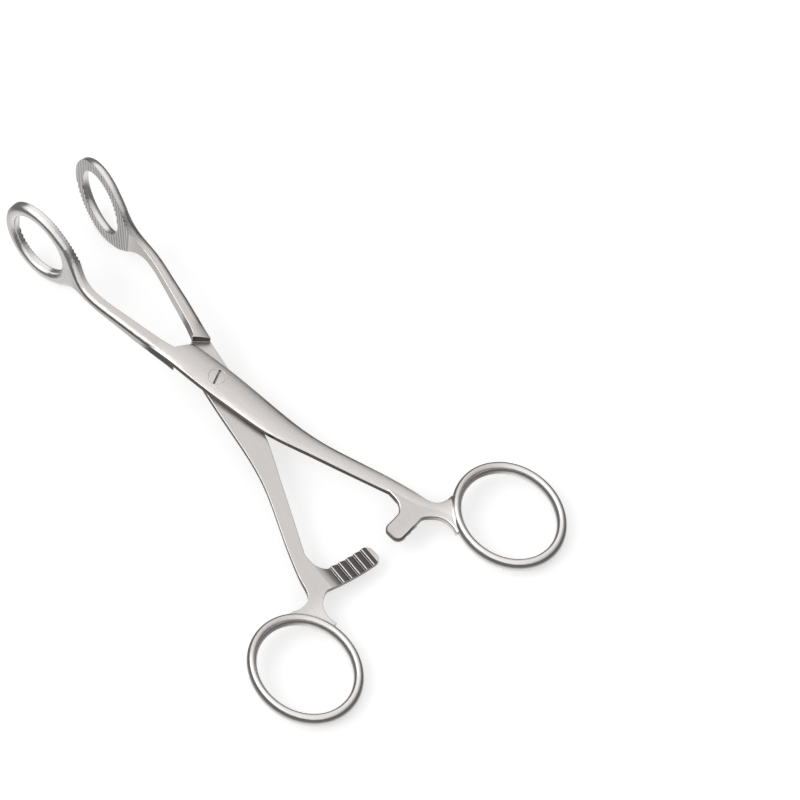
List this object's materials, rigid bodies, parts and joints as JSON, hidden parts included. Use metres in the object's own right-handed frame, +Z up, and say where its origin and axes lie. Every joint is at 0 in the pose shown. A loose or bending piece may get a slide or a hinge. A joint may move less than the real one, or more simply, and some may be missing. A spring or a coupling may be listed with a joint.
{
  "type": "tongue forceps",
  "caption": "Steel tongue forceps: crossed arms on a slotted pivot screw, oval grooved ring jaws, a toothed ratchet and oval finger rings.",
  "frame": {"origin": "on the table under the middle of the object's box as it lies", "axes": "+Z up, +X from the jaws toward the finger rings, +Y toward the finger ring of the arm that lies on top"},
  "size_m": [0.1674, 0.0974, 0.0301],
  "materials": {
    "satin_steel": "satin, with polished crowns and edges",
    "screw_steel": "fine satin"
  },
  "bodies": {
    "lower": {"lower_arm": "satin_steel", "pivot_screw": "screw_steel"},
    "upper": {"upper_arm": "satin_steel"}
  },
  "joints": [
    {"name": "pivot", "type": "hinge", "parent": "lower", "child": "upper", "pos_m": [-0.01054, 0.00015, 0.01008], "axis": [0.0821, 0.0476, 0.9955], "range_deg": [-17, 30]}
  ]
}
